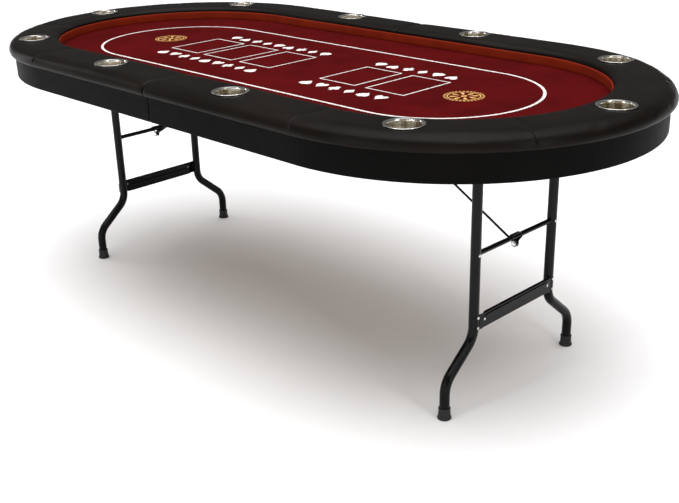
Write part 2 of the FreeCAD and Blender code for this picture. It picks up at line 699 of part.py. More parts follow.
def stay_link():
    """The short flat link beside the rod, from the anchor to the elbow."""
    eye, start = "dims.eye_dia / 2", "dims.link_y"
    bar = box("link_bar", (f"-{eye}", start, "0"),
              ("dims.eye_dia", "dims.link_thick", "dims.link_long"))
    eyes = [rod("link_eye", "y", ("0", start, z), eye, "dims.link_thick")
            for z in ("0", "dims.link_long")]
    holes = [rod("link_hole", "y", ("0", start, z), "dims.stay_pin_dia / 2 + dims.run_gap",
                 "dims.link_thick") for z in ("0", "dims.link_long")]
    solid = less("stay_link", joined("link_blank", [bar, *eyes]), holes)
    lean = math.degrees(math.atan2(size("stay_drop"), size("stay_reach")))
    place(solid, "dims.anchor_x", "0", "dims.pivot_z", FreeCAD.Rotation(Y_AXIS, lean + 90))
    node(solid, "stay_link_right")


def stay_anchor():
    """An angle bracket under the deck, with the pin that the link turns on."""
    ear = "dims.eye_dia / 2 + dims.sheet_thick"
    parts = [
        box("anchor_base", (f"dims.anchor_x - ({ear})", "dims.anchor_y", "dims.bracket_z"),
            (f"2 * ({ear})", "dims.base_half", "dims.sheet_thick")),
        box("anchor_ear", (f"dims.anchor_x - ({ear})", "dims.anchor_y", "dims.pivot_z"),
            (f"2 * ({ear})", "dims.sheet_thick", "dims.bracket_z - dims.pivot_z")),
        rod("anchor_end", "y", ("dims.anchor_x", "dims.anchor_y", "dims.pivot_z"), ear,
            "dims.sheet_thick")]
    hole = rod("anchor_hole", "y", ("dims.anchor_x", "dims.anchor_y", "dims.pivot_z"),
               "dims.stay_pin_dia / 2", "dims.sheet_thick")
    node(less("anchor", joined("anchor_blank", parts), [hole]), "stay_anchor_right")
    shank = rod("anchor_shank", "y", ("dims.anchor_x", "dims.link_y", "dims.pivot_z"),
                "dims.stay_pin_dia / 2", "dims.anchor_y + dims.sheet_thick - dims.link_y")
    head = rod("anchor_head", "y", ("dims.anchor_x", "dims.anchor_y + dims.sheet_thick",
                                    "dims.pivot_z"), "dims.stay_pin_dia", "dims.sheet_thick")
    node(joined("anchor_pin", [shank, head]), "stay_anchor_pin_right")


# ---------------------------------------------------------------- the whole table

def build():
    fill_sheet()
    for piece in (deck, playing_surface, rail_core, rail_pad, rail_liner, apron, battens):
        piece()
    for place_name, x, y in CUPS:
        cup_holder(place_name, x, y)
    for rear in (leg_tube(), foot_tip()):
        front = mirrored(rear, f"{rear.Name}_front", Y_AXIS)
        node(front, rear.Label.replace("rear", "front"))
    for piece in (crossbar, stretcher, leg_brackets, stay_tab, stay_rod, stay_link, stay_anchor):
        piece()
    for source in list(nodes):
        node(mirrored(source, f"{source.Name}_mirror", X_AXIS),
             source.Label.replace("right", "left"))
    centre_hinges()
    doc.recompute()


def check():
    for obj in doc.Objects:
        if "Invalid" in obj.State or "Error" in obj.State:
            raise RuntimeError(f"{obj.Label}: {obj.State} {obj.getStatusString()}")
    for obj in nodes:
        if obj.Shape.isNull() or not obj.Shape.isValid() or not obj.Shape.Solids:
            raise RuntimeError(f"{obj.Label} has no valid solid")


def export():
    os.makedirs("parts", exist_ok=True)
    for obj in nodes:
        obj.Shape.exportStep(f"parts/{obj.Label}.step")


build()
check()
export()
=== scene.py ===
"""Looks of a folding oval poker table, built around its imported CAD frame. Units are metres."""
import math

import bmesh
import bpy
from mathutils import Matrix, Vector, noise


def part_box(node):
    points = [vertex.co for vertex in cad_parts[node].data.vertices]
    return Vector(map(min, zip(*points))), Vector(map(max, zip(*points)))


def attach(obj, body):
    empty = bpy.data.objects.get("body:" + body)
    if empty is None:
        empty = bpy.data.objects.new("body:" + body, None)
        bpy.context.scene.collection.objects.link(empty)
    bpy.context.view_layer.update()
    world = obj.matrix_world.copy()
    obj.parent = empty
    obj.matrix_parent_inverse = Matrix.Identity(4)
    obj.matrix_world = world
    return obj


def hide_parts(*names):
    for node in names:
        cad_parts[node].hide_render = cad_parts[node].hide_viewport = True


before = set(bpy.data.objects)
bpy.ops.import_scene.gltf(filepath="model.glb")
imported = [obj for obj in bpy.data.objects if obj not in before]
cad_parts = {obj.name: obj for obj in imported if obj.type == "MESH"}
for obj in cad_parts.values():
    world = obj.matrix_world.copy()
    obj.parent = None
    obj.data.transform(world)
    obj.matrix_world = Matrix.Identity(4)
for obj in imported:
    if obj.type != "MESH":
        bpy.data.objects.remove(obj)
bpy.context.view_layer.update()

# ---------------------------------------------------------------- places read from the frame

MM = 0.001
SIDES = {"left": -1, "right": 1}
CUP_PLACES = ("nose", "front_curve", "rear_curve", "front_arm", "rear_arm")


def span(node, axis):
    """Lowest and highest coordinate of a CAD node along one axis (0, 1 or 2)."""
    low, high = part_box(node)
    return low[axis], high[axis]


def middle_of(node, axis):
    return sum(span(node, axis)) / 2


def half_of(node, axis):
    """Half the extent of a CAD node along one axis, such as a tube's radius."""
    low, high = span(node, axis)
    return (high - low) / 2


FACE = span("rail_pad_right", 0)[0]
OUTER = span("rail_pad_right", 1)[1]
CENTRE = span("rail_pad_right", 0)[1] - OUTER
RAIL_LOW, CROWN = span("rail_pad_right", 2)
INNER = span("rail_liner_right", 1)[1]
WALL_TOP = span("rail_liner_right", 2)[1]
FELT_LOW, FELT_TOP = span("playing_surface_right", 2)
FELT_R = span("playing_surface_right", 1)[1]
CORE_TOP = span("rail_core_right", 2)[1]
CORE_OUT = span("rail_core_right", 1)[1]
APRON_LOW, APRON_TOP = span("apron_right", 2)
APRON_OUT = span("apron_right", 1)[1]
APRON_IN = span("deck_panel_right", 1)[1]
CUP_LOW, LIP_TOP = span("cup_holder_right_nose", 2)
CUP_RIM = half_of("cup_holder_right_nose", 0)

LEG_X = middle_of("foot_tip_right_rear", 0)
FOOT_Y = middle_of("foot_tip_right_rear", 1)
FOOT_R = half_of("foot_tip_right_rear", 0)
FOOT_TALL = span("foot_tip_right_rear", 2)[1]
TUBE_R = half_of("leg_tube_right_rear", 0)
TUBE_LOW, TUBE_TOP = span("leg_tube_right_rear", 2)
LEG_Y = FOOT_Y - 2 * half_of("leg_tube_right_rear", 1) + 2 * TUBE_R
BAR_Z = middle_of("crossbar_right", 2)
BAR_R = half_of("crossbar_right", 2)
STRETCH_LOW, STRETCH_TOP = span("stretcher_right", 2)
PIN_Z = middle_of("stay_bolt_right", 2)

# sizes that the frame's boxes don't hold
CORE_IN = INNER + 8 * MM
CUP_BODY = 39 * MM
BEND_TOP, BEND_LOW, BEND_R = 208 * MM, 65 * MM, 60 * MM


# ---------------------------------------------------------------- mesh helpers

def mesh_piece(name, points, faces, material, sharp=40):
    """A mesh object from points and faces, smooth except at edges sharper than an angle."""
    mesh = bpy.data.meshes.new(name)
    mesh.from_pydata([tuple(p) for p in points], [], faces)
    mesh.materials.append(material)
    cleaned = bmesh.new()
    cleaned.from_mesh(mesh)
    bmesh.ops.remove_doubles(cleaned, verts=cleaned.verts, dist=1e-6)
    bmesh.ops.recalc_face_normals(cleaned, faces=cleaned.faces)
    cleaned.to_mesh(mesh)
    cleaned.free()
    mesh.shade_smooth()
    mesh.set_sharp_from_angle(angle=math.radians(sharp))
    piece = bpy.data.objects.new(name, mesh)
    bpy.context.collection.objects.link(piece)
    return piece


def merged(parts):
    """The points and faces of several (points, faces) parts as one pair."""
    points, faces = [], []
    for part_points, part_faces in parts:
        start = len(points)
        points += part_points
        faces += [tuple(start + k for k in face) for face in part_faces]
    return points, faces


def grid_faces(rows, columns, wrap_columns=True):
    """Quads that join rows of points; columns wrap round when the section is closed."""
    faces = []
    for i in range(rows - 1):
        for j in range(columns if wrap_columns else columns - 1):
            here, after = i * columns, (i + 1) * columns
            m = (j + 1) % columns
            faces.append((here + j, here + m, after + m, after + j))
    return faces


def capped(rows, columns):
    """A tube of quads closed by one face at each end."""
    faces = grid_faces(rows, columns)
    faces.append(tuple(range(columns)))
    faces.append(tuple(range((rows - 1) * columns, rows * columns))[::-1])
    return faces


def turned(name, profile, centre, material, segments, sharp):
    """A solid of revolution about a vertical line; the profile is (radius, height) pairs."""
    points = []
    for radius, height in profile:
        for k in range(segments):
            angle = 2 * math.pi * k / segments
            points.append((centre[0] + radius * math.cos(angle),
                           centre[1] + radius * math.sin(angle), height))
    return mesh_piece(name, points, grid_faces(len(profile), segments), material, sharp=sharp)


def swept_tube(name, path, radii, side_axis, material, segments):
    """A round tube along a planar path; side_axis is the normal of the path's plane."""
    points = []
    for i, here in enumerate(path):
        ahead, behind = path[min(i + 1, len(path) - 1)], path[max(i - 1, 0)]
        up = side_axis.cross((ahead - behind).normalized())
        for k in range(segments):
            angle = 2 * math.pi * k / segments
            points.append(here + radii[i] * (math.cos(angle) * side_axis + math.sin(angle) * up))
    return mesh_piece(name, points, capped(len(path), segments), material, sharp=45)


def arc(centre, radius, start, end, steps):
    """Points on an arc, as (first, second) coordinates."""
    return [(centre[0] + radius * math.cos(start + (end - start) * i / steps),
             centre[1] + radius * math.sin(start + (end - start) * i / steps))
            for i in range(steps + 1)]


def smooth_path(points, rounds):
    """Chaikin corner cutting of an open list of (a, b) pairs, ends kept."""
    for _ in range(rounds):
        cut = [points[0]]
        for (ax, ay), (bx, by) in zip(points, points[1:]):
            cut.append((ax * .75 + bx * .25, ay * .75 + by * .25))
            cut.append((ax * .25 + bx * .75, ay * .25 + by * .75))
        points = cut + [points[-1]]
    return points


def stations(side, arm_step=7 * MM, turn_step=1.5, extra=()):
    """Places round one half, from its rear fold face to its front one.

    Each is (x, nx, ny, travel, total): the x of its root on the long axis, the outward
    normal (nx, ny), and the distance travelled along the cup line, so far and in all.
    extra lists travels with closer places around them.
    """
    track = (OUTER + INNER) / 2
    arm = CENTRE - FACE
    steps = max(2, round(arm / arm_step))
    travels = [arm * i / steps for i in range(steps + 1)]
    turn = math.pi * track
    count = round(180 / turn_step)
    travels += [arm + turn * i / count for i in range(1, count + 1)]
    travels += [arm + turn + arm * i / steps for i in range(1, steps + 1)]
    ends = (1.5, 3, 5, 8, 12)
    total = 2 * arm + turn
    travels += [e * MM for e in ends] + [total - e * MM for e in ends]
    travels += [t + d * MM for t in extra for d in (-5, -3, -1.8, -.9, 0, .9, 1.8, 3, 5)]
    places = []
    for travel in sorted(set(round(t, 6) for t in travels)):
        if travel <= arm:
            x, nx, ny = FACE + travel, 0.0, 1.0
        elif travel <= arm + turn:
            angle = math.pi / 2 - (travel - arm) / track
            x, nx, ny = CENTRE, math.cos(angle), math.sin(angle)
        else:
            x, nx, ny = FACE + total - travel, 0.0, -1.0
        places.append((x * side, nx * side, ny, travel, total))
    return places


def around_half(name, side, section, material, shape, sharp, extra=()):
    """A closed section of (r, z) pairs carried round one half; shape moves its points."""
    places = stations(side, extra=extra)
    points = []
    for x, nx, ny, travel, total in places:
        loop = shape(section, travel, total) if shape else section
        points.extend((x + nx * r, ny * r, z) for r, z in loop)
    return mesh_piece(name, points, capped(len(places), len(section)), material, sharp=sharp)


def cup_centres(side_name):
    for cup in CUP_PLACES:
        low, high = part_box(f"cup_holder_{side_name}_{cup}")
        yield cup, ((low[0] + high[0]) / 2, (low[1] + high[1]) / 2)


def drilled(piece, centres, radius):
    """Cuts an upright round hole through a piece at each centre."""
    for index, (x, y) in enumerate(centres):
        bpy.ops.mesh.primitive_cylinder_add(vertices=64, radius=radius, depth=0.3,
                                            location=(x, y, CROWN - 0.05))
        cutter = bpy.context.object
        cut = piece.modifiers.new(f"hole_{index}", "BOOLEAN")
        cut.object, cut.operation, cut.solver = cutter, "DIFFERENCE", "EXACT"
        bpy.context.view_layer.objects.active = piece
        bpy.ops.object.modifier_apply(modifier=cut.name)
        bpy.data.objects.remove(cutter, do_unlink=True)
    piece.data.set_sharp_from_angle(angle=math.radians(50))


# ---------------------------------------------------------------- materials

class Shader:
    """A node material with short ways to add and join nodes."""

    def __init__(self, name):
        self.material = bpy.data.materials.new(name)
        self.material.use_nodes = True
        self.tree = self.material.node_tree
        self.principled = self.tree.nodes["Principled BSDF"]
        self.place = self.add("ShaderNodeTexCoord").outputs["Object"]

    def add(self, kind, **settings):
        node = self.tree.nodes.new(kind)
        for key, value in settings.items():
            setattr(node, key, value)
        return node

    def join(self, source, target):
        self.tree.links.new(source, target)

    def set(self, **values):
        for key, value in values.items():
            self.principled.inputs[key.replace("_", " ")].default_value = value

    def noise(self, scale, detail=3.0, stretch=None):
        node = self.add("ShaderNodeTexNoise")
        node.inputs["Scale"].default_value = scale
        node.inputs["Detail"].default_value = detail
        self.join(self.stretched(stretch), node.inputs["Vector"])
        return node.outputs["Fac"]

    def stretched(self, stretch):
        if not stretch:
            return self.place
        mapping = self.add("ShaderNodeMapping")
        mapping.inputs["Scale"].default_value = stretch
        self.join(self.place, mapping.inputs["Vector"])
        return mapping.outputs["Vector"]

    def cells(self, scale):
        node = self.add("ShaderNodeTexVoronoi", feature="DISTANCE_TO_EDGE")
        node.inputs["Scale"].default_value = scale
        self.join(self.place, node.inputs["Vector"])
        return node.outputs["Distance"]

    def waves(self, scale, direction, distortion, stretch=None):
        node = self.add("ShaderNodeTexWave", bands_direction=direction)
        node.inputs["Scale"].default_value = scale
        node.inputs["Distortion"].default_value = distortion
        self.join(self.stretched(stretch), node.inputs["Vector"])
        return node.outputs["Fac"]

    def math(self, operation, first, second):
        node = self.add("ShaderNodeMath", operation=operation)
        for socket, value in zip(node.inputs, (first, second)):
            if isinstance(value, (int, float)):
                socket.default_value = value
            else:
                self.join(value, socket)
        return node.outputs[0]

    def colour(self, factor, low, high, edges=(0.0, 1.0)):
        """Base colour between two values as factor goes from one edge to the other."""
        node = self.add("ShaderNodeValToRGB")
        ramp = node.color_ramp.elements
        ramp[0].color, ramp[1].color = (*low, 1), (*high, 1)
        ramp[0].position, ramp[1].position = edges
        self.join(factor, node.inputs["Fac"])
        self.join(node.outputs["Color"], self.principled.inputs["Base Color"])

    def roughness(self, factor, low, high):
        spread = self.add("ShaderNodeMapRange")
        spread.inputs["To Min"].default_value = low
        spread.inputs["To Max"].default_value = high
        self.join(factor, spread.inputs["Value"])
        self.join(spread.outputs["Result"], self.principled.inputs["Roughness"])

    def bump(self, heights):
        """Stacks bumps: each entry is (height, distance in metres, strength)."""
        normal = None
        for height, distance, strength in heights:
            node = self.add("ShaderNodeBump")
            node.inputs["Distance"].default_value = distance
            node.inputs["Strength"].default_value = strength
            self.join(height, node.inputs["Height"])
            if normal:
                self.join(normal, node.inputs["Normal"])
            normal = node.outputs["Normal"]
        self.join(normal, self.principled.inputs["Normal"])


def vinyl(name, low, high, rough, shine, grain=900):
    """Embossed vinyl: pebble grain, faint pores, slow changes of gloss and tone."""
    shader = Shader(name)
    tone = shader.noise(6, 4)
    shader.colour(tone, low, high, (0.35, 0.7))
    shader.roughness(shader.noise(40, 3), rough - 0.06, rough + 0.08)
    shader.bump(((shader.noise(25, 2), 0.4 * MM, 0.12),
                 (shader.cells(grain), 0.12 * MM, 0.35),
                 (shader.noise(3500, 2), 0.03 * MM, 0.25)))
    shader.set(Specular_IOR_Level=shine)
    return shader.material


def speed_cloth():
    """Dark red playing cloth: a fine crossed weave, soft nap and slight fading."""
    shader = Shader("felt_cloth")
    warp = shader.waves(420, "X", 0.6)
    weft = shader.waves(420, "Y", 0.6)
    weave = shader.math("MULTIPLY", warp, weft)
    tone = shader.math("ADD", shader.math("MULTIPLY", weave, 0.35), shader.noise(9, 4))
    shader.colour(tone, FELT_DARK, FELT_LIGHT, (0.35, 0.95))
    shader.roughness(shader.noise(300, 2), 0.78, 0.92)
    shader.bump(((weave, 0.12 * MM, 0.5), (shader.noise(1800, 3), 0.08 * MM, 0.4)))
    shader.set(Specular_IOR_Level=0.015)
    return shader.material


def printed(name, low, high, metal=0.0):
    """Ink on the cloth: the weave shows through, and it is slightly worn."""
    shader = Shader(name)
    weave = shader.math("MULTIPLY", shader.waves(420, "X", 0.6), shader.waves(420, "Y", 0.6))
    wear = shader.math("ADD", shader.math("MULTIPLY", weave, -0.25), shader.noise(120, 4))
    shader.colour(wear, low, high, (0.12, 0.5))
    shader.roughness(shader.noise(300, 2), 0.55, 0.75)
    shader.bump(((weave, 0.12 * MM, 0.5),))
    shader.set(Metallic=metal, Specular_IOR_Level=0.3)
    return shader.material


def liner_cloth():
    shader = Shader("liner_cloth")
    weave = shader.math("MULTIPLY", shader.waves(520, "Z", 0.8), shader.waves(380, "DIAGONAL", 0.8))
    tone = shader.math("ADD", shader.math("MULTIPLY", weave, 0.3), shader.noise(14, 3))
    shader.colour(tone, LINER_DARK, LINER_LIGHT, (0.3, 0.95))
    shader.roughness(shader.noise(200, 2), 0.6, 0.8)
    shader.bump(((weave, 0.15 * MM, 0.5),))
    shader.set(Specular_IOR_Level=0.1)
    return shader.material


def steel(name, tint, rough, lines):
    """Bright metal with fine brushing lines and faint smudges."""
    shader = Shader(name)
    brushing = shader.noise(lines, 2, (0.02, 0.02, 1.0))
    shader.colour(shader.noise(30, 3), [c * 0.86 for c in tint], tint, (0.3, 0.7))
    smudge = shader.math("ADD", shader.math("MULTIPLY", brushing, 0.5), shader.noise(60, 4))
    shader.roughness(smudge, rough * 0.7, rough * 1.35)
    shader.bump(((brushing, 0.02 * MM, 0.3),))
    shader.set(Metallic=1.0)
    return shader.material


def brushed_cup():
    """Drawn stainless steel: turning lines round the cup and slow streaks down its wall, which are
    painted reflections: light and dark vertical bands in the base colour.
    """
    shader = Shader("cup_stainless")
    lines = shader.noise(40, 4, (1.0, 1.0, 300.0))
    # painted reflection: long vertical noise bands, dark brown to cream, in the base colour stand
    # in for the studio mirrored in the steel wall
    reflection_bands = shader.noise(75, 2, (1.0, 1.0, 0.01))
    shader.colour(reflection_bands, (0.40, 0.33, 0.23), (1.0, 0.97, 0.90), (0.38, 0.54))
    shader.roughness(lines, 0.16, 0.34)
    shader.bump(((lines, 0.03 * MM, 0.35),))
    tangent = shader.add("ShaderNodeTangent", direction_type="RADIAL", axis="Z")
    shader.join(tangent.outputs["Tangent"], shader.principled.inputs["Tangent"])
    shader.set(Metallic=1.0, Anisotropic=0.8)
    return shader.material


def powder_coat():
    """Gloss black paint with slight orange peel and dust in its roughness."""
    shader = Shader("leg_black")
    shader.colour(shader.noise(12, 4), (0.0010, 0.0010, 0.0011), (0.0024, 0.0024, 0.0026),
                  (0.35, 0.7))
    shader.roughness(shader.noise(90, 4), 0.14, 0.24)
    shader.bump(((shader.noise(450, 2), 0.05 * MM, 0.25),))
    shader.set(Specular_IOR_Level=0.14)
    return shader.material


def rubber():
    shader = Shader("tip_black")
    shader.colour(shader.noise(80, 4), (0.004, 0.004, 0.004), (0.011, 0.0105, 0.010), (0.35, 0.75))
    shader.roughness(shader.noise(150, 3), 0.6, 0.85)
    shader.bump(((shader.noise(900, 3), 0.1 * MM, 0.4),))
    return shader.material


def plywood():
    """Rotary-cut veneer: long grain and darker streaks."""
    shader = Shader("plywood")
    grain = shader.waves(18, "Y", 9.0, (0.25, 1.0, 6.0))
    streak = shader.noise(60, 5, (0.06, 1.0, 4.0))
    tone = shader.math("ADD", shader.math("MULTIPLY", grain, 0.4),
                       shader.math("MULTIPLY", streak, 0.6))
    shader.colour(tone, (0.17, 0.11, 0.065), (0.38, 0.28, 0.18), (0.25, 0.75))
    shader.roughness(streak, 0.5, 0.75)
    shader.bump(((streak, 0.2 * MM, 0.35), (shader.noise(700, 2), 0.05 * MM, 0.3)))
    return shader.material


FELT_DARK, FELT_LIGHT = (0.054, 0.0024, 0.0029), (0.097, 0.0038, 0.0042)
LINER_DARK, LINER_LIGHT = (0.17, 0.012, 0.002), (0.27, 0.022, 0.004)

rail_vinyl = vinyl("rail_vinyl_black", (0.0042, 0.0030, 0.0022), (0.0070, 0.0050, 0.0037),
                   0.36, 0.06)
apron_vinyl = vinyl("apron_vinyl_black", (0.0016, 0.0014, 0.0012), (0.0028, 0.0025, 0.0021),
                    0.50, 0.035)
thread_black = vinyl("black_thread", (0.004, 0.0035, 0.003), (0.012, 0.011, 0.010), 0.7, 0.2, 2500)
felt_cloth = speed_cloth()
white_ink = printed("white_ink", (0.45, 0.36, 0.35), (0.82, 0.80, 0.77))
gold_ink = printed("gold_ink", (0.35, 0.13, 0.03), (0.78, 0.48, 0.16), 0.35)
liner_fabric = liner_cloth()
cup_steel = brushed_cup()
lip_steel = steel("cup_lip", (0.86, 0.84, 0.80), 0.16, 600)
zinc = steel("zinc_plate", (0.74, 0.75, 0.76), 0.30, 1200)
leg_black = powder_coat()
tip_black = rubber()
bare_wood = plywood()


# ---------------------------------------------------------------- rail, liner, skirt, felt

NOTCH = 5 * MM
SEAM_DEPTH = 1.4 * MM
SEAMS = (1.51, 1.98)
SLACK = 2.2 * MM
SWELL_LIMIT = 3.5 * MM
STITCH_GAP = 5 * MM
STITCH_STEP = 6.5 * MM


def evenly(points, step):
    """The same open outline with points at equal distances."""
    legs = [math.dist(a, b) for a, b in zip(points, points[1:])]
    count = max(2, round(sum(legs) / step))
    placed, walked, k = [points[0]], 0.0, 0
    for n in range(1, count):
        target = sum(legs) * n / count
        while walked + legs[k] < target:
            walked += legs[k]
            k += 1
        share = (target - walked) / legs[k]
        (ax, ay), (bx, by) = points[k], points[k + 1]
        placed.append((ax + (bx - ax) * share, ay + (by - ay) * share))
    return placed + [points[-1]]


def rail_section():
    """The cover from the inner wall over the crown to the hem, then back round the core."""
    wall = [(INNER + 0.4 * MM, RAIL_LOW + 0.4 * MM), (INNER + 0.4 * MM, RAIL_LOW + 11 * MM),
            (INNER + 0.4 * MM, WALL_TOP - 1 * MM)]
    crown = smooth_path([
        (INNER + 0.3 * MM, WALL_TOP + 0.4 * MM), (INNER - 2.4 * MM, WALL_TOP + 1.6 * MM),
        (INNER - 0.8 * MM, WALL_TOP + 8.5 * MM), (INNER + 12 * MM, CROWN - 1.4 * MM),
        (INNER + 38 * MM, CROWN + 0.2 * MM), (OUTER - 58 * MM, CROWN + 0.2 * MM),
        (OUTER - 25 * MM, CROWN - 0.8 * MM), (OUTER - 6 * MM, CROWN - 8 * MM),
        (OUTER + 0.6 * MM, CROWN - 21 * MM), (OUTER - 1 * MM, RAIL_LOW + 5 * MM),
        (OUTER - 5 * MM, RAIL_LOW - 1.0 * MM), (APRON_OUT + 0.5 * MM, RAIL_LOW - 1.0 * MM)], 3)
    crown = evenly(crown, 6 * MM)
    core = [(APRON_OUT + 0.5 * MM, RAIL_LOW), (CORE_OUT, RAIL_LOW), (CORE_OUT, CORE_TOP),
            (CORE_IN, CORE_TOP), (CORE_IN, RAIL_LOW + 0.4 * MM)]
    return wall + crown + core, len(wall), len(wall) + len(crown)


def swollen(piece, held):
    """Blows the skin up a little between the held points, as foam does to stretched vinyl."""
    scene = bpy.context.scene
    start = [vertex.co.copy() for vertex in piece.data.vertices]
    group = piece.vertex_groups.new(name="held")
    group.add(held, 1.0, "REPLACE")
    cloth = piece.modifiers.new("vinyl", "CLOTH")
    settings = cloth.settings
    settings.quality, settings.mass = 6, 0.4
    settings.tension_stiffness = settings.compression_stiffness = 18
    settings.shear_stiffness, settings.bending_stiffness = 8, 2
    settings.use_pressure, settings.uniform_pressure_force = True, 5
    settings.vertex_group_mass = group.name
    settings.effector_weights.gravity = 0
    cloth.collision_settings.use_collision = False
    cloth.point_cache.frame_start, cloth.point_cache.frame_end = 1, 20
    for frame_number in range(1, 21):
        scene.frame_set(frame_number)
    moved = piece.evaluated_get(bpy.context.evaluated_depsgraph_get()).to_mesh()
    ends = [vertex.co.copy() for vertex in moved.vertices]
    piece.modifiers.remove(cloth)
    for vertex, first, last in zip(piece.data.vertices, start, ends):
        shift = last - first
        if shift.length > 0:
            shift *= SWELL_LIMIT * math.tanh(shift.length / SWELL_LIMIT) / shift.length
        place = first + shift
        place.z = min(place.z, CROWN - 0.1 * MM)
        vertex.co = place
    scene.frame_set(1)


def rail_skin():
    """The right-hand cover before its cup holes are cut, and the threads of its seams."""
    section, first, last = rail_section()
    columns = len(section)
    middle = Vector(((INNER + OUTER) / 2, RAIL_LOW + 10 * MM))

    def shape(loop, travel, total):
        edge = min(travel, total - travel)
        inset = SLACK + NOTCH * max(0.0, 1 - edge / (9 * MM)) ** 2
        for seam in SEAMS:
            inset += SEAM_DEPTH * math.exp(-((travel - seam) / (2.2 * MM)) ** 2)
        moved = []
        for j, (r, z) in enumerate(loop):
            if first <= j < last:
                out = Vector((r - middle.x, (z - middle.y) * 4)).normalized()
                swell = 0.5 * MM * noise.noise(Vector((travel * 9, r * 12, 3.1)))
                fade = min(1.0, (j - first) / 3, max(0.0, (last - 4 - j) / 2))
                r, z = r + out.x * (swell - inset) * fade, z + out.y * (swell - inset) * fade
            moved.append((r, z))
        return moved

    piece = around_half("rail_skin", 1, section, rail_vinyl, shape, 60, SEAMS)
    travels = [place[3] for place in stations(1, extra=SEAMS)]
    cups = [centre for _, centre in cup_centres("right")]
    held = []
    for vertex in piece.data.vertices:
        i, j = divmod(vertex.index, columns)
        nearest = min(math.dist(vertex.co.xy, cup) for cup in cups)
        if first < j < last - 4:
            if nearest < CUP_RIM + 2 * MM and vertex.co.z > CORE_TOP + 6 * MM:
                vertex.co.z = CROWN - 0.9 * MM
                held.append(vertex.index)
            elif min(travels[i], travels[-1] - travels[i]) < 2 * MM:
                held.append(vertex.index)
            elif any(abs(travels[i] - seam) < 1.2 * MM for seam in SEAMS):
                held.append(vertex.index)
        else:
            held.append(vertex.index)
    swollen(piece, held)
    lines = []
    for seam in SEAMS:
        for offset in (-STITCH_GAP, STITCH_GAP):
            i = min(range(len(travels)), key=lambda k: abs(travels[k] - seam - offset))
            lines.append([piece.data.vertices[i * columns + j].co.copy()
                          for j in range(first + 4, last - 4)])
    finer = piece.modifiers.new("finer", "SUBSURF")
    finer.levels = finer.render_levels = 1
    bpy.context.view_layer.objects.active = piece
    bpy.ops.object.modifier_apply(modifier=finer.name)
    drilled(piece, cups, CUP_BODY + 0.8 * MM)
    return piece, lines


def stitch_mesh(lines, name):
    """Short thread stitches along each line, half sunk into the vinyl."""
    parts = []
    for line in lines:
        lengths = [(b - a).length for a, b in zip(line, line[1:])]
        for n in range(int(sum(lengths) / STITCH_STEP)):
            target, k = (n + 0.5) * STITCH_STEP, 0
            while k < len(lengths) - 1 and target > lengths[k]:
                target -= lengths[k]
                k += 1
            along = (line[k + 1] - line[k]).normalized()
            spot = line[k] + along * target
            parts.append(prism(spot, along, 0.75 * MM, -2 * MM, 2 * MM, 8, 0.5 * MM))
    return mesh_piece(name, *merged(parts), thread_black, sharp=60)


def mirrored_copy(piece, name):
    twin = piece.copy()
    twin.data = piece.data.copy()
    twin.name = twin.data.name = name
    bpy.context.collection.objects.link(twin)
    twin.data.transform(Matrix.Scale(-1, 4, Vector((1, 0, 0))))
    twin.data.flip_normals()
    return twin


def rails():
    """Both rail covers; the left one is the right one's mirror image."""
    skin, lines = rail_skin()
    stitches = stitch_mesh(lines, "rail_stitches")
    for side_name, side in SIDES.items():
        cover = mirrored_copy(skin, f"rail_cover_{side_name}") if side < 0 else skin
        threads = mirrored_copy(stitches, f"rail_stitches_{side_name}") if side < 0 else stitches
        cover.name, threads.name = f"rail_cover_{side_name}", f"rail_stitches_{side_name}"
        for piece in (cover, threads):
            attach(piece, f"half_{side_name}")
        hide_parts(f"rail_pad_{side_name}")


def liner(side_name, side):
    """The fabric strip: a thin padded band that stands on the felt."""
    inner = INNER - 3.4 * MM
    section = ([(INNER, FELT_TOP + 0.2 * MM), (inner + 1.2 * MM, FELT_TOP + 0.2 * MM)]
               + smooth_path([(inner + 0.8 * MM, FELT_TOP + 0.4 * MM), (inner, FELT_TOP + 3 * MM),
                              (inner - 0.1 * MM, WALL_TOP - 8 * MM),
                              (inner + 0.4 * MM, WALL_TOP - 1.5 * MM),
                              (inner + 2 * MM, WALL_TOP - 0.2 * MM)], 2)
               + [(INNER, WALL_TOP - 0.2 * MM)])
    piece = around_half(f"liner_strip_{side_name}", side, section, liner_fabric, None, 50)
    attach(piece, f"half_{side_name}")
    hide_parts(f"rail_liner_{side_name}")


def skirt(side_name, side):
    """Vinyl stretched over the board, with a rounded lower edge and a faint wave."""
    section = ([(APRON_IN, APRON_TOP - 0.2 * MM), (APRON_IN, APRON_LOW + 3 * MM)]
               + smooth_path([(APRON_IN, APRON_LOW + 2 * MM), (APRON_IN + 1 * MM, APRON_LOW),
                              (APRON_IN + 4 * MM, APRON_LOW), (APRON_OUT - 5 * MM, APRON_LOW),
                              (APRON_OUT, APRON_LOW), (APRON_OUT, APRON_LOW + 6 * MM)], 3)
               + [(APRON_OUT, APRON_LOW + 12 * MM + k * 8 * MM) for k in range(6)]
               + [(APRON_OUT, APRON_TOP - 0.2 * MM)])

    def shape(loop, travel, total):
        edge = min(travel, total - travel)
        inset = 1.6 * MM * max(0.0, 1 - edge / (4 * MM)) ** 2
        moved = []
        for r, z in loop:
            if r > APRON_OUT - 6 * MM and z < APRON_TOP - 1 * MM:
                r -= inset + 0.25 * MM * (1 + noise.noise(Vector((travel * 5, z * 30, side * 1.7))))
            moved.append((r, z))
        return moved

    piece = around_half(f"skirt_cover_{side_name}", side, section, apron_vinyl, shape, 40)
    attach(piece, f"half_{side_name}")
    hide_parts(f"apron_{side_name}")


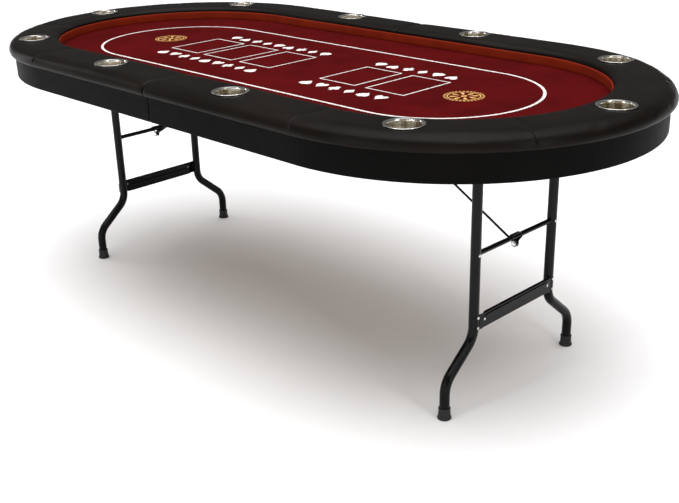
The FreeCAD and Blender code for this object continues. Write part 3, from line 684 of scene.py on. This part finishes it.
def felt(side_name, side):
    """Cloth over foam: flat in the field, tucked under the rail and round the fold edge."""
    edge, rings = 1.2 * MM, 14
    outline = [place[:3] for place in stations(side, 20 * MM, 3)]
    columns = len(outline)
    # the top runs from the long axis out to the edge, then down the side and back below
    rows = [(FELT_R * ring / rings, FELT_TOP) for ring in range(rings)]
    rows += [(FELT_R - edge, FELT_TOP), (FELT_R - 0.3 * edge, FELT_TOP - 0.3 * edge),
             (FELT_R, FELT_TOP - edge), (FELT_R, FELT_LOW), (0.0, FELT_LOW)]
    points = [(x + nx * r, ny * r, z) for r, z in rows for x, nx, ny in outline]
    faces = grid_faces(len(rows), columns, wrap_columns=False)
    for j in (0, columns - 1):
        faces.append(tuple(i * columns + j for i in range(len(rows))))
    piece = mesh_piece(f"felt_field_{side_name}", points, faces, felt_cloth, sharp=35)
    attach(piece, f"half_{side_name}")
    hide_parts(f"playing_surface_{side_name}")


# ---------------------------------------------------------------- print on the felt

INK_Z = FELT_TOP + 0.15 * MM
PRINT_Y = -0.017
LINE_HALF = 0.260
LINE_CENTRE = 0.510
LINE_WIDE = 7.5 * MM
BOX_WIDE, BOX_TALL, BOX_LINE = 0.130, 0.182, 4.5 * MM
BOX_X = {-1: (0.400, 0.243, 0.080), 1: (0.247, 0.412)}
ROW_Y = {"near": -0.158, "far": 0.118}
PIP = 0.040
PIP_ROWS = {-1: (0.430, 0.030, 9), 1: (0.190, 0.445, 6)}
CREST_X = 0.590


def flat_strip(outer, inner):
    """Quads between two outlines with the same number of points."""
    count = len(outer)
    points = [(x, y, INK_Z) for x, y in outer] + [(x, y, INK_Z) for x, y in inner]
    faces = [(j, j + 1, count + j + 1, count + j) for j in range(count - 1)]
    return points, faces


def print_piece(name, side_name, parts, material):
    """Joins flat shapes into one printed piece on a half."""
    piece = mesh_piece(f"{name}_{side_name}", *merged(parts), material)
    for face in piece.data.polygons:
        if face.normal.z < 0:
            face.flip()
    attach(piece, f"half_{side_name}")


def betting_line(side_name, side):
    def track(radius):
        end = arc((LINE_CENTRE, 0), radius, math.pi / 2, -math.pi / 2, 60)
        whole = [(FACE, radius)] + end + [(FACE, -radius)]
        return [(side * x, y + PRINT_Y) for x, y in whole]
    strip = flat_strip(track(LINE_HALF), track(LINE_HALF - LINE_WIDE))
    print_piece("betting_line", side_name, [strip], white_ink)


def card_boxes(side_name, side):
    parts = []
    for x in BOX_X[side]:
        def frame_at(inset):
            w, t = BOX_WIDE / 2 - inset, BOX_TALL / 2 - inset
            corners = ((-w, -t), (w, -t), (w, t), (-w, t), (-w, -t))
            return [(side * x + a, PRINT_Y + b) for a, b in corners]
        parts.append(flat_strip(frame_at(0), frame_at(BOX_LINE)))
    print_piece("card_boxes", side_name, parts, white_ink)


def pip_outline(suit, size):
    """Outline of a card suit centred on the origin, as a fan of points."""
    steps = 40
    if suit == "diamond":
        return [(0, -size / 2), (size * .36, 0), (0, size / 2), (-size * .36, 0)]
    if suit in ("heart", "spade"):
        points = []
        for k in range(steps):
            t = 2 * math.pi * k / steps
            x = 16 * math.sin(t) ** 3
            y = 13 * math.cos(t) - 5 * math.cos(2 * t) - 2 * math.cos(3 * t) - math.cos(4 * t)
            points.append((x * size / 36, (y + 2.5) * size / 30))
        return points if suit == "heart" else [(x, -y + size * .04) for x, y in points]
    radius = size * 0.2
    return [(radius * math.cos(2 * math.pi * k / steps), radius * math.sin(2 * math.pi * k / steps))
            for k in range(steps)]


def pip(suit, x, y, size, turned_over):
    """Flat parts that make one suit mark; clubs and spades get a stem."""
    shapes = []
    if suit == "club":
        for dx, dy in ((-.2, -.06), (.2, -.06), (0, .24)):
            shapes.append([(px + dx * size, py + dy * size) for px, py in pip_outline(suit, size)])
    else:
        shapes.append(pip_outline(suit, size))
    if suit in ("club", "spade"):
        shapes.append([(px * size, py * size) for px, py in
                       ((-.05, 0), (-.15, -.5), (.15, -.5), (.05, 0))])
    sign = -1 if turned_over else 1
    parts = []
    for level, outline in enumerate(shapes):
        rise = level * 0.02 * MM
        points = [(x + sign * px, y + sign * py, INK_Z + rise) for px, py in outline]
        parts.append((points, [tuple(range(len(points)))]))
    return parts


def pip_rows(side_name, side):
    """Rows of suit marks above and below the card boxes."""
    suits = ("spade", "heart", "club", "diamond")
    parts = []
    start, end, count = PIP_ROWS[side]
    for row in ROW_Y:
        for k in range(count):
            x = side * (start + (end - start) * k / (count - 1))
            parts += pip(suits[k % 4], x, ROW_Y[row], PIP, row == "far")
    print_piece("suit_marks", side_name, parts, white_ink)


def crest(side_name, side):
    """A gold rosette at each end: eight petals round a diamond, inside a beaded ring."""
    middle = (side * CREST_X, PRINT_Y)
    ring = [[(middle[0] + r * math.cos(t), middle[1] + r * math.sin(t))
             for t in (2 * math.pi * k / 64 for k in range(65))] for r in (0.0415, 0.0385)]
    parts = [flat_strip(*ring)] + pip("diamond", *middle, 0.022, False)
    for k in range(8):
        turn = k * math.pi / 4
        petal = []
        for n in range(24):
            t = 2 * math.pi * n / 24
            along = 0.0235 + 0.0115 * math.cos(t)
            across = 0.0052 * math.sin(t) * (1.2 + math.cos(t)) / 1.6
            petal.append((middle[0] + along * math.cos(turn) - across * math.sin(turn),
                          middle[1] + along * math.sin(turn) + across * math.cos(turn), INK_Z))
        parts.append((petal, [tuple(range(24))]))
    for k in range(32):
        turn = (k + 0.5) * math.pi / 16
        bead = [(middle[0] + 0.0475 * math.cos(turn) + 0.0032 * math.cos(n * math.pi / 6),
                 middle[1] + 0.0475 * math.sin(turn) + 0.0032 * math.sin(n * math.pi / 6), INK_Z)
                for n in range(12)]
        parts.append((bead, [tuple(range(12))]))
    print_piece("crest", side_name, parts, gold_ink)


# ---------------------------------------------------------------- cup holders

def cup(side_name, cup_name, centre):
    """A deep-drawn cup: rolled lip, slight taper, rounded heel and a dished floor."""
    lip, wall, sheet = CUP_RIM, CUP_BODY - 0.2 * MM, 0.9 * MM
    top = LIP_TOP - 0.1 * MM
    heel = arc((wall - 9 * MM, CUP_LOW + 8 * MM), 8 * MM, 0, -math.pi / 2, 8)
    outside = [(0.0, CUP_LOW + 1.4 * MM), (wall * .5, CUP_LOW + 1.1 * MM)] + heel[::-1]
    outside += [(wall - 0.6 * MM, CUP_LOW + 30 * MM), (wall, CROWN - 3 * MM),
                (wall + 0.8 * MM, CROWN - 0.6 * MM), (wall + 2 * MM, CROWN + 0.1 * MM),
                (lip - 1.2 * MM, CROWN + 0.1 * MM), (lip - 0.4 * MM, CROWN - 0.3 * MM)]
    rolled = arc((lip - 0.8 * MM, CROWN + 0.6 * MM), 0.8 * MM, -0.3, math.pi / 2, 6)
    inside = [(lip - 2.5 * MM, top), (wall + 2.2 * MM, top - 0.2 * MM),
              (wall + 0.6 * MM, top - 0.7 * MM), (wall - 0.5 * MM, top - 2.4 * MM),
              (wall - sheet, top - 6 * MM), (wall - sheet - 0.6 * MM, CUP_LOW + 30 * MM)]
    inside += [(r - sheet, z + sheet) for r, z in heel]
    inside += [(wall * .72, CUP_LOW + 1.2 * MM), (wall * .68, CUP_LOW + 2.4 * MM),
               (wall * .3, CUP_LOW + 2.7 * MM), (0.0, CUP_LOW + 2.9 * MM)]
    piece = turned(f"cup_{side_name}_{cup_name}", outside + rolled + inside, centre, cup_steel,
                   80, 30)
    piece.data.materials.append(lip_steel)
    for face in piece.data.polygons:
        if face.center.z > CROWN - 0.4 * MM:
            face.material_index = 1
    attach(piece, f"half_{side_name}")
    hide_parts(f"cup_holder_{side_name}_{cup_name}")


# ---------------------------------------------------------------- legs

def leg_path(end):
    """Centre line of one leg in (y, z): straight, S-bend outwards, straight to the foot."""
    shift, fall = 2 * BEND_R - (FOOT_Y - LEG_Y), BEND_TOP - BEND_LOW
    straight = math.sqrt(shift ** 2 + fall ** 2 - 4 * BEND_R ** 2)
    turn = math.atan2(fall, shift) - math.atan2(straight, 2 * BEND_R)
    path = [(LEG_Y, TUBE_TOP), (LEG_Y, BEND_TOP + 40 * MM)]
    path += arc((LEG_Y + BEND_R, BEND_TOP), BEND_R, math.pi, math.pi + turn, 14)
    path += arc((FOOT_Y - BEND_R, BEND_LOW), BEND_R, turn, 0, 14)
    path += [(FOOT_Y, TUBE_LOW + 20 * MM), (FOOT_Y, TUBE_LOW)]
    return [Vector((LEG_X, end * y, z)) for y, z in path]


def on_leg(piece, side_name, side, slot, *replaced):
    """Moves a piece drawn on the right-hand leg to its own side and fixes it there."""
    if side < 0:
        piece.data.transform(Matrix.Scale(-1, 4, Vector((1, 0, 0))))
        piece.data.flip_normals()
    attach(piece, f"leg_{side_name}")
    if replaced:
        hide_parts(*replaced)


def leg(side_name, side):
    for end_name, end in (("front", -1), ("rear", 1)):
        path = leg_path(end)
        tube = swept_tube(f"leg_{side_name}_{end_name}", path, [TUBE_R] * len(path),
                          Vector((1, 0, 0)), leg_black, 40)
        on_leg(tube, side_name, side, "leg_paint", f"leg_tube_{side_name}_{end_name}")
        foot(side_name, side, end_name, end)
        rivet = dome(f"bar_rivet_{side_name}_{end_name}",
                     Vector((LEG_X + TUBE_R - 0.4 * MM, end * LEG_Y, BAR_Z)), 4.2 * MM, 2.2 * MM)
        on_leg(rivet, side_name, side, "zinc")
    crossbar(side_name, side)
    stretcher(side_name, side)
    stay_tab(side_name, side)


def foot(side_name, side, end_name, end):
    """Rubber tip: flared sole, two grip rings and a soft rolled mouth."""
    top_r = FOOT_R - 2 * MM
    profile = [(0.0, 0.0), (FOOT_R - 3 * MM, 0.0), (FOOT_R - 1 * MM, 0.6 * MM),
               (FOOT_R - 0.1 * MM, 2.4 * MM), (FOOT_R - 0.3 * MM, 4.5 * MM),
               (FOOT_R - 1.4 * MM, 6.5 * MM), (top_r - 0.4 * MM, 10 * MM),
               (top_r - 0.9 * MM, 14 * MM), (top_r - 0.3 * MM, 15.2 * MM),
               (top_r - 0.9 * MM, 16.4 * MM), (top_r - 1.0 * MM, 20 * MM),
               (top_r - 0.9 * MM, 26 * MM), (top_r - 0.4 * MM, 27.6 * MM),
               (top_r - 0.5 * MM, 29 * MM), (top_r - 1.4 * MM, FOOT_TALL),
               (TUBE_R + 0.3 * MM, FOOT_TALL), (TUBE_R + 0.1 * MM, FOOT_TALL - 1 * MM),
               (TUBE_R + 0.1 * MM, TUBE_LOW), (0.0, TUBE_LOW)]
    tip = turned(f"tip_{side_name}_{end_name}", profile, (LEG_X, end * FOOT_Y), tip_black, 48, 35)
    on_leg(tip, side_name, side, "tip_rubber", f"foot_tip_{side_name}_{end_name}")


def dome(name, base, radius, height):
    """A rivet head: a low dome on a short skirt, standing out along X."""
    turn, segments = Vector((1, 0, 0)).to_track_quat("Z", "Y").to_matrix(), 24
    profile = [(0.0, 0.0), (radius, 0.0), (radius, height * 0.2)]
    profile += [(radius * math.cos(a), height * (0.2 + 0.8 * math.sin(a)))
                for a in (math.pi / 2 * k / 6 for k in range(1, 7))]
    points = []
    for r, h in profile:
        for k in range(segments):
            angle = 2 * math.pi * k / segments
            points.append(base + turn @ Vector((r * math.cos(angle), r * math.sin(angle), h)))
    return mesh_piece(name, points, grid_faces(len(profile), segments), zinc)


def crossbar(side_name, side):
    """The thin bar: round, a little flattened where it meets each tube."""
    inner = LEG_Y - TUBE_R * 0.96
    steps = [-1, -0.985, -0.94, -0.5, 0, 0.5, 0.94, 0.985, 1]
    path = [Vector((LEG_X, inner * s, BAR_Z)) for s in steps]
    radii = [BAR_R * (1.12 if abs(s) > 0.96 else 1.0) * 0.99 for s in steps]
    bar = swept_tube(f"bar_{side_name}", path, radii, Vector((0, 0, 1)), leg_black, 28)
    on_leg(bar, side_name, side, "leg_paint", f"crossbar_{side_name}")


def stretcher(side_name, side):
    """Pressed channel: its ends wrap the tubes, a ridge runs between them."""
    front = LEG_X + TUBE_R
    tall = STRETCH_TOP - STRETCH_LOW
    end_y, channel = LEG_Y + TUBE_R * 0.9, LEG_Y - TUBE_R - 6 * MM
    ridge_low, ridge_top, step = 0.48, 0.86, 1.6 * MM
    columns = [-end_y + k * step for k in range(int(2 * TUBE_R * 0.95 / step) + 1)]
    inner_columns = [-channel + 2 * channel * k / 40 for k in range(41)]
    ys = sorted(columns + inner_columns + [-y for y in columns])
    heights = [0, .02, .05, .10, .2, .3, .4, .44, .48, .52, .6, .7, .78, .82, .86, .9, .95, .98, 1]
    rows = [(0, True)] + [(h, False) for h in heights] + [(1, True)]
    points = []
    for y in ys:
        off = abs(abs(y) - LEG_Y)
        depth = 0.0
        if abs(y) > LEG_Y - TUBE_R * .55:
            depth = min(TUBE_R - math.sqrt(max(TUBE_R ** 2 - off ** 2, 0)), 5 * MM)
        near = min(1.0, max(0.0, (channel - abs(y)) / (10 * MM)))
        squeeze = 1.0
        if abs(y) >= LEG_Y + 4 * MM:
            squeeze = 1 - 0.35 * (abs(y) - LEG_Y - 4 * MM) / (8 * MM)
        for h, flange in rows:
            x = front - depth + 0.2 * MM
            if flange:
                x -= 5.5 * MM * near
            elif h in (0, 1):
                x -= 1.2 * MM
            elif h in (.02, .98):
                x -= 0.3 * MM
            if ridge_low < h < ridge_top:
                x += 2.4 * MM * near
            points.append((x, y, STRETCH_LOW + tall * (0.5 + (h - 0.5) * squeeze)))
    sheet = mesh_piece(f"stretcher_channel_{side_name}", points,
                       grid_faces(len(ys), len(rows), wrap_columns=False), leg_black, sharp=50)
    thicken(sheet, 1.4 * MM)
    on_leg(sheet, side_name, side, "leg_paint", f"stretcher_{side_name}")
    for end in (-1, 1):
        low, high = STRETCH_LOW + 6 * MM, STRETCH_TOP - 6 * MM
        spots = ((LEG_Y, low), (LEG_Y, high), (LEG_Y - 2 * TUBE_R, (low + high) / 2 + 3 * MM))
        for k, (y, z) in enumerate(spots):
            head = dome(f"rivet_{side_name}_{'front' if end < 0 else 'rear'}_{k}",
                        Vector((front + 1.3 * MM, end * y, z)), 3.8 * MM, 1.9 * MM)
            on_leg(head, side_name, side, "zinc")
    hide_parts(f"stretcher_rivets_{side_name}")


def thicken(piece, thick):
    """Gives a single skin real thickness."""
    solid = piece.modifiers.new("sheet", "SOLIDIFY")
    solid.thickness = thick
    solid.offset = 0
    bpy.context.view_layer.objects.active = piece
    bpy.ops.object.modifier_apply(modifier=solid.name)
    piece.data.set_sharp_from_angle(angle=math.radians(45))


def stay_tab(side_name, side):
    """A strip bent into a V over the crossbar, with a bolt, washers and a nut at its foot."""
    low_y, high_y = 4.3 * MM, 19 * MM
    bend_z = PIN_Z + 7 * MM
    path = [(low_y, PIN_Z - 8 * MM), (low_y, PIN_Z), (low_y, bend_z - 2 * MM),
            (low_y + 1.5 * MM, bend_z + 1 * MM), (high_y - 1.5 * MM, BAR_Z - 4 * MM),
            (high_y, BAR_Z - 0.5 * MM), (high_y - 0.5 * MM, BAR_Z + 4.8 * MM),
            (high_y - 3 * MM, BAR_Z + BAR_R + 1 * MM), (0, BAR_Z + BAR_R + 1.1 * MM)]
    path += [(-y, z) for y, z in path[-2::-1]]
    points = []
    for y, z in path:
        half = 8 * MM if z < bend_z - 3 * MM else 7.2 * MM
        if z > BAR_Z + 3 * MM:
            half = 4.5 * MM
        if z < PIN_Z - 6 * MM:
            half = 4.8 * MM
        points.extend((LEG_X + half * t, y, z) for t in (-1, -.5, 0, .5, 1))
    strap = mesh_piece(f"tab_strap_{side_name}", points,
                       grid_faces(len(path), 5, wrap_columns=False), leg_black, sharp=60)
    thicken(strap, 1.8 * MM)
    on_leg(strap, side_name, side, "leg_paint", f"stay_tab_{side_name}")
    bolt_with_nut(f"tab_bolt_{side_name}", side_name, side)


def prism(base, axis, radius, start, end, sides, bevel):
    """Rings of a short bar along an axis, as points and faces; bevel rounds its ends."""
    turn = axis.to_track_quat("Z", "Y").to_matrix()
    points, levels = [], [(radius - bevel, start), (radius, start + bevel),
                          (radius, end - bevel), (radius - bevel, end)]
    for r, h in levels:
        for k in range(sides):
            angle = 2 * math.pi * (k + 0.5) / sides
            points.append(base + turn @ Vector((r * math.cos(angle), r * math.sin(angle), h)))
    return points, capped(len(levels), sides)


def bolt_with_nut(name, side_name, side):
    base, axis = Vector((LEG_X, 0, PIN_Z)), Vector((0, 1, 0))
    parts = [prism(base, axis, 2.4 * MM, -7.6 * MM, 7.7 * MM, 24, 0.4 * MM)]
    for direction in (-1, 1):
        parts.append(prism(base, axis * direction, 6.2 * MM, 5.25 * MM, 6.0 * MM, 28, 0.15 * MM))
        parts.append(prism(base, axis * direction, 4.7 * MM, 6.0 * MM, 7.75 * MM, 6, 0.4 * MM))
    bolt = mesh_piece(name, *merged(parts), zinc, sharp=25)
    on_leg(bolt, side_name, side, "zinc", f"stay_bolt_{side_name}")


# ---------------------------------------------------------------- carried-over CAD nodes

PAINTED = ((leg_black, ("stay_rod", "stay_link")),
           (zinc, ("hinge_leaves", "leg_brackets", "leg_pivot_bolts", "stay_anchor",
                   "stay_anchor_pin")),
           (bare_wood, ("deck_panel", "fold_beam", "end_batten", "rail_core")))


def finish_node(name, material):
    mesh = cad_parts[name].data
    mesh.materials.clear()
    mesh.materials.append(material)
    mesh.shade_smooth()
    mesh.set_sharp_from_angle(angle=math.radians(35))


def finish_cad():
    for material, stems in PAINTED:
        for stem in stems:
            for side_name in SIDES:
                finish_node(f"{stem}_{side_name}", material)
    finish_node("hinge_pins", zinc)


# ---------------------------------------------------------------- studio

CAMERA_AT = (2.0750, -1.8941, 1.3091)
HEADING, TILT, ROLL = -0.79803, 0.39289, -0.02489
FOCAL = 53.54


def camera():
    bpy.context.scene.view_settings.view_transform = "Standard"
    ahead = Vector((math.sin(HEADING) * math.cos(TILT), math.cos(HEADING) * math.cos(TILT),
                    -math.sin(TILT)))
    level = ahead.cross(Vector((0, 0, 1))).normalized()
    upward = level.cross(ahead)
    right = math.cos(ROLL) * level + math.sin(ROLL) * upward
    up = -math.sin(ROLL) * level + math.cos(ROLL) * upward
    data = bpy.data.cameras.new("camera")
    data.lens, data.sensor_width = FOCAL, 36
    holder = bpy.data.objects.new("camera", data)
    bpy.context.collection.objects.link(holder)
    turn = Matrix((right, up, -ahead)).transposed().to_4x4()
    holder.matrix_world = Matrix.Translation(CAMERA_AT) @ turn
    bpy.context.scene.camera = holder


def area_light(name, place, target, size, power):
    data = bpy.data.lights.new(name, "AREA")
    data.shape, data.size, data.size_y = "RECTANGLE", size[0], size[1]
    data.energy = power
    holder = bpy.data.objects.new(name, data)
    holder.location = place
    aim = Vector(target) - Vector(place)
    holder.rotation_euler = aim.to_track_quat("-Z", "Y").to_euler()
    bpy.context.collection.objects.link(holder)


def studio():
    bpy.ops.mesh.primitive_plane_add(size=120, location=(0, 0, 0))
    floor = bpy.context.object
    floor.name = "floor"
    paper = Shader("paper")
    paper.colour(paper.noise(2, 2), (0.90, 0.90, 0.91), (0.93, 0.93, 0.94))
    paper.roughness(paper.noise(5, 2), 0.8, 0.9)
    floor.data.materials.append(paper.material)
    sky(0.13, 3.2)
    area_light("key", (0.8, -0.9, 4.0), (0, 0, 0.7), (3.0, 2.0), 40)
    area_light("strip_right", (3.4, -0.6, 1.3), (0.8, 0, 0.6), (0.25, 2.0), 16)
    area_light("strip_front", (0.2, -3.6, 1.5), (0, 0, 0.6), (0.3, 2.0), 16)
    area_light("strip_left", (-3.4, -1.2, 1.4), (-0.8, 0, 0.6), (0.3, 2.0), 12)
    area_light("fill", (1.5, -4.0, 0.9), (0, 0, 0.1), (4.0, 1.2), 20)


def sky(low, high):
    """A tent of light: dim near the horizon and bright overhead."""
    world = bpy.data.worlds.new("studio")
    bpy.context.scene.world = world
    world.use_nodes = True
    tree = world.node_tree
    place = tree.nodes.new("ShaderNodeTexCoord")
    split = tree.nodes.new("ShaderNodeSeparateXYZ")
    rise = tree.nodes.new("ShaderNodeMapRange")
    rise.interpolation_type = "SMOOTHSTEP"
    for socket, value in (("From Min", 0.60), ("From Max", 0.95),
                          ("To Min", low), ("To Max", high)):
        rise.inputs[socket].default_value = value
    tree.links.new(place.outputs["Generated"], split.inputs[0])
    tree.links.new(split.outputs["Z"], rise.inputs["Value"])
    tree.links.new(rise.outputs["Result"], tree.nodes["Background"].inputs["Strength"])
    tree.nodes["Background"].inputs["Color"].default_value = (1, 1, 1, 1)


# ---------------------------------------------------------------- the whole table

rails()
for side_name, side in SIDES.items():
    liner(side_name, side)
    skirt(side_name, side)
    felt(side_name, side)
    betting_line(side_name, side)
    card_boxes(side_name, side)
    pip_rows(side_name, side)
    crest(side_name, side)
    for cup_name, centre in cup_centres(side_name):
        cup(side_name, cup_name, centre)
    leg(side_name, side)
finish_cad()
studio()
camera()
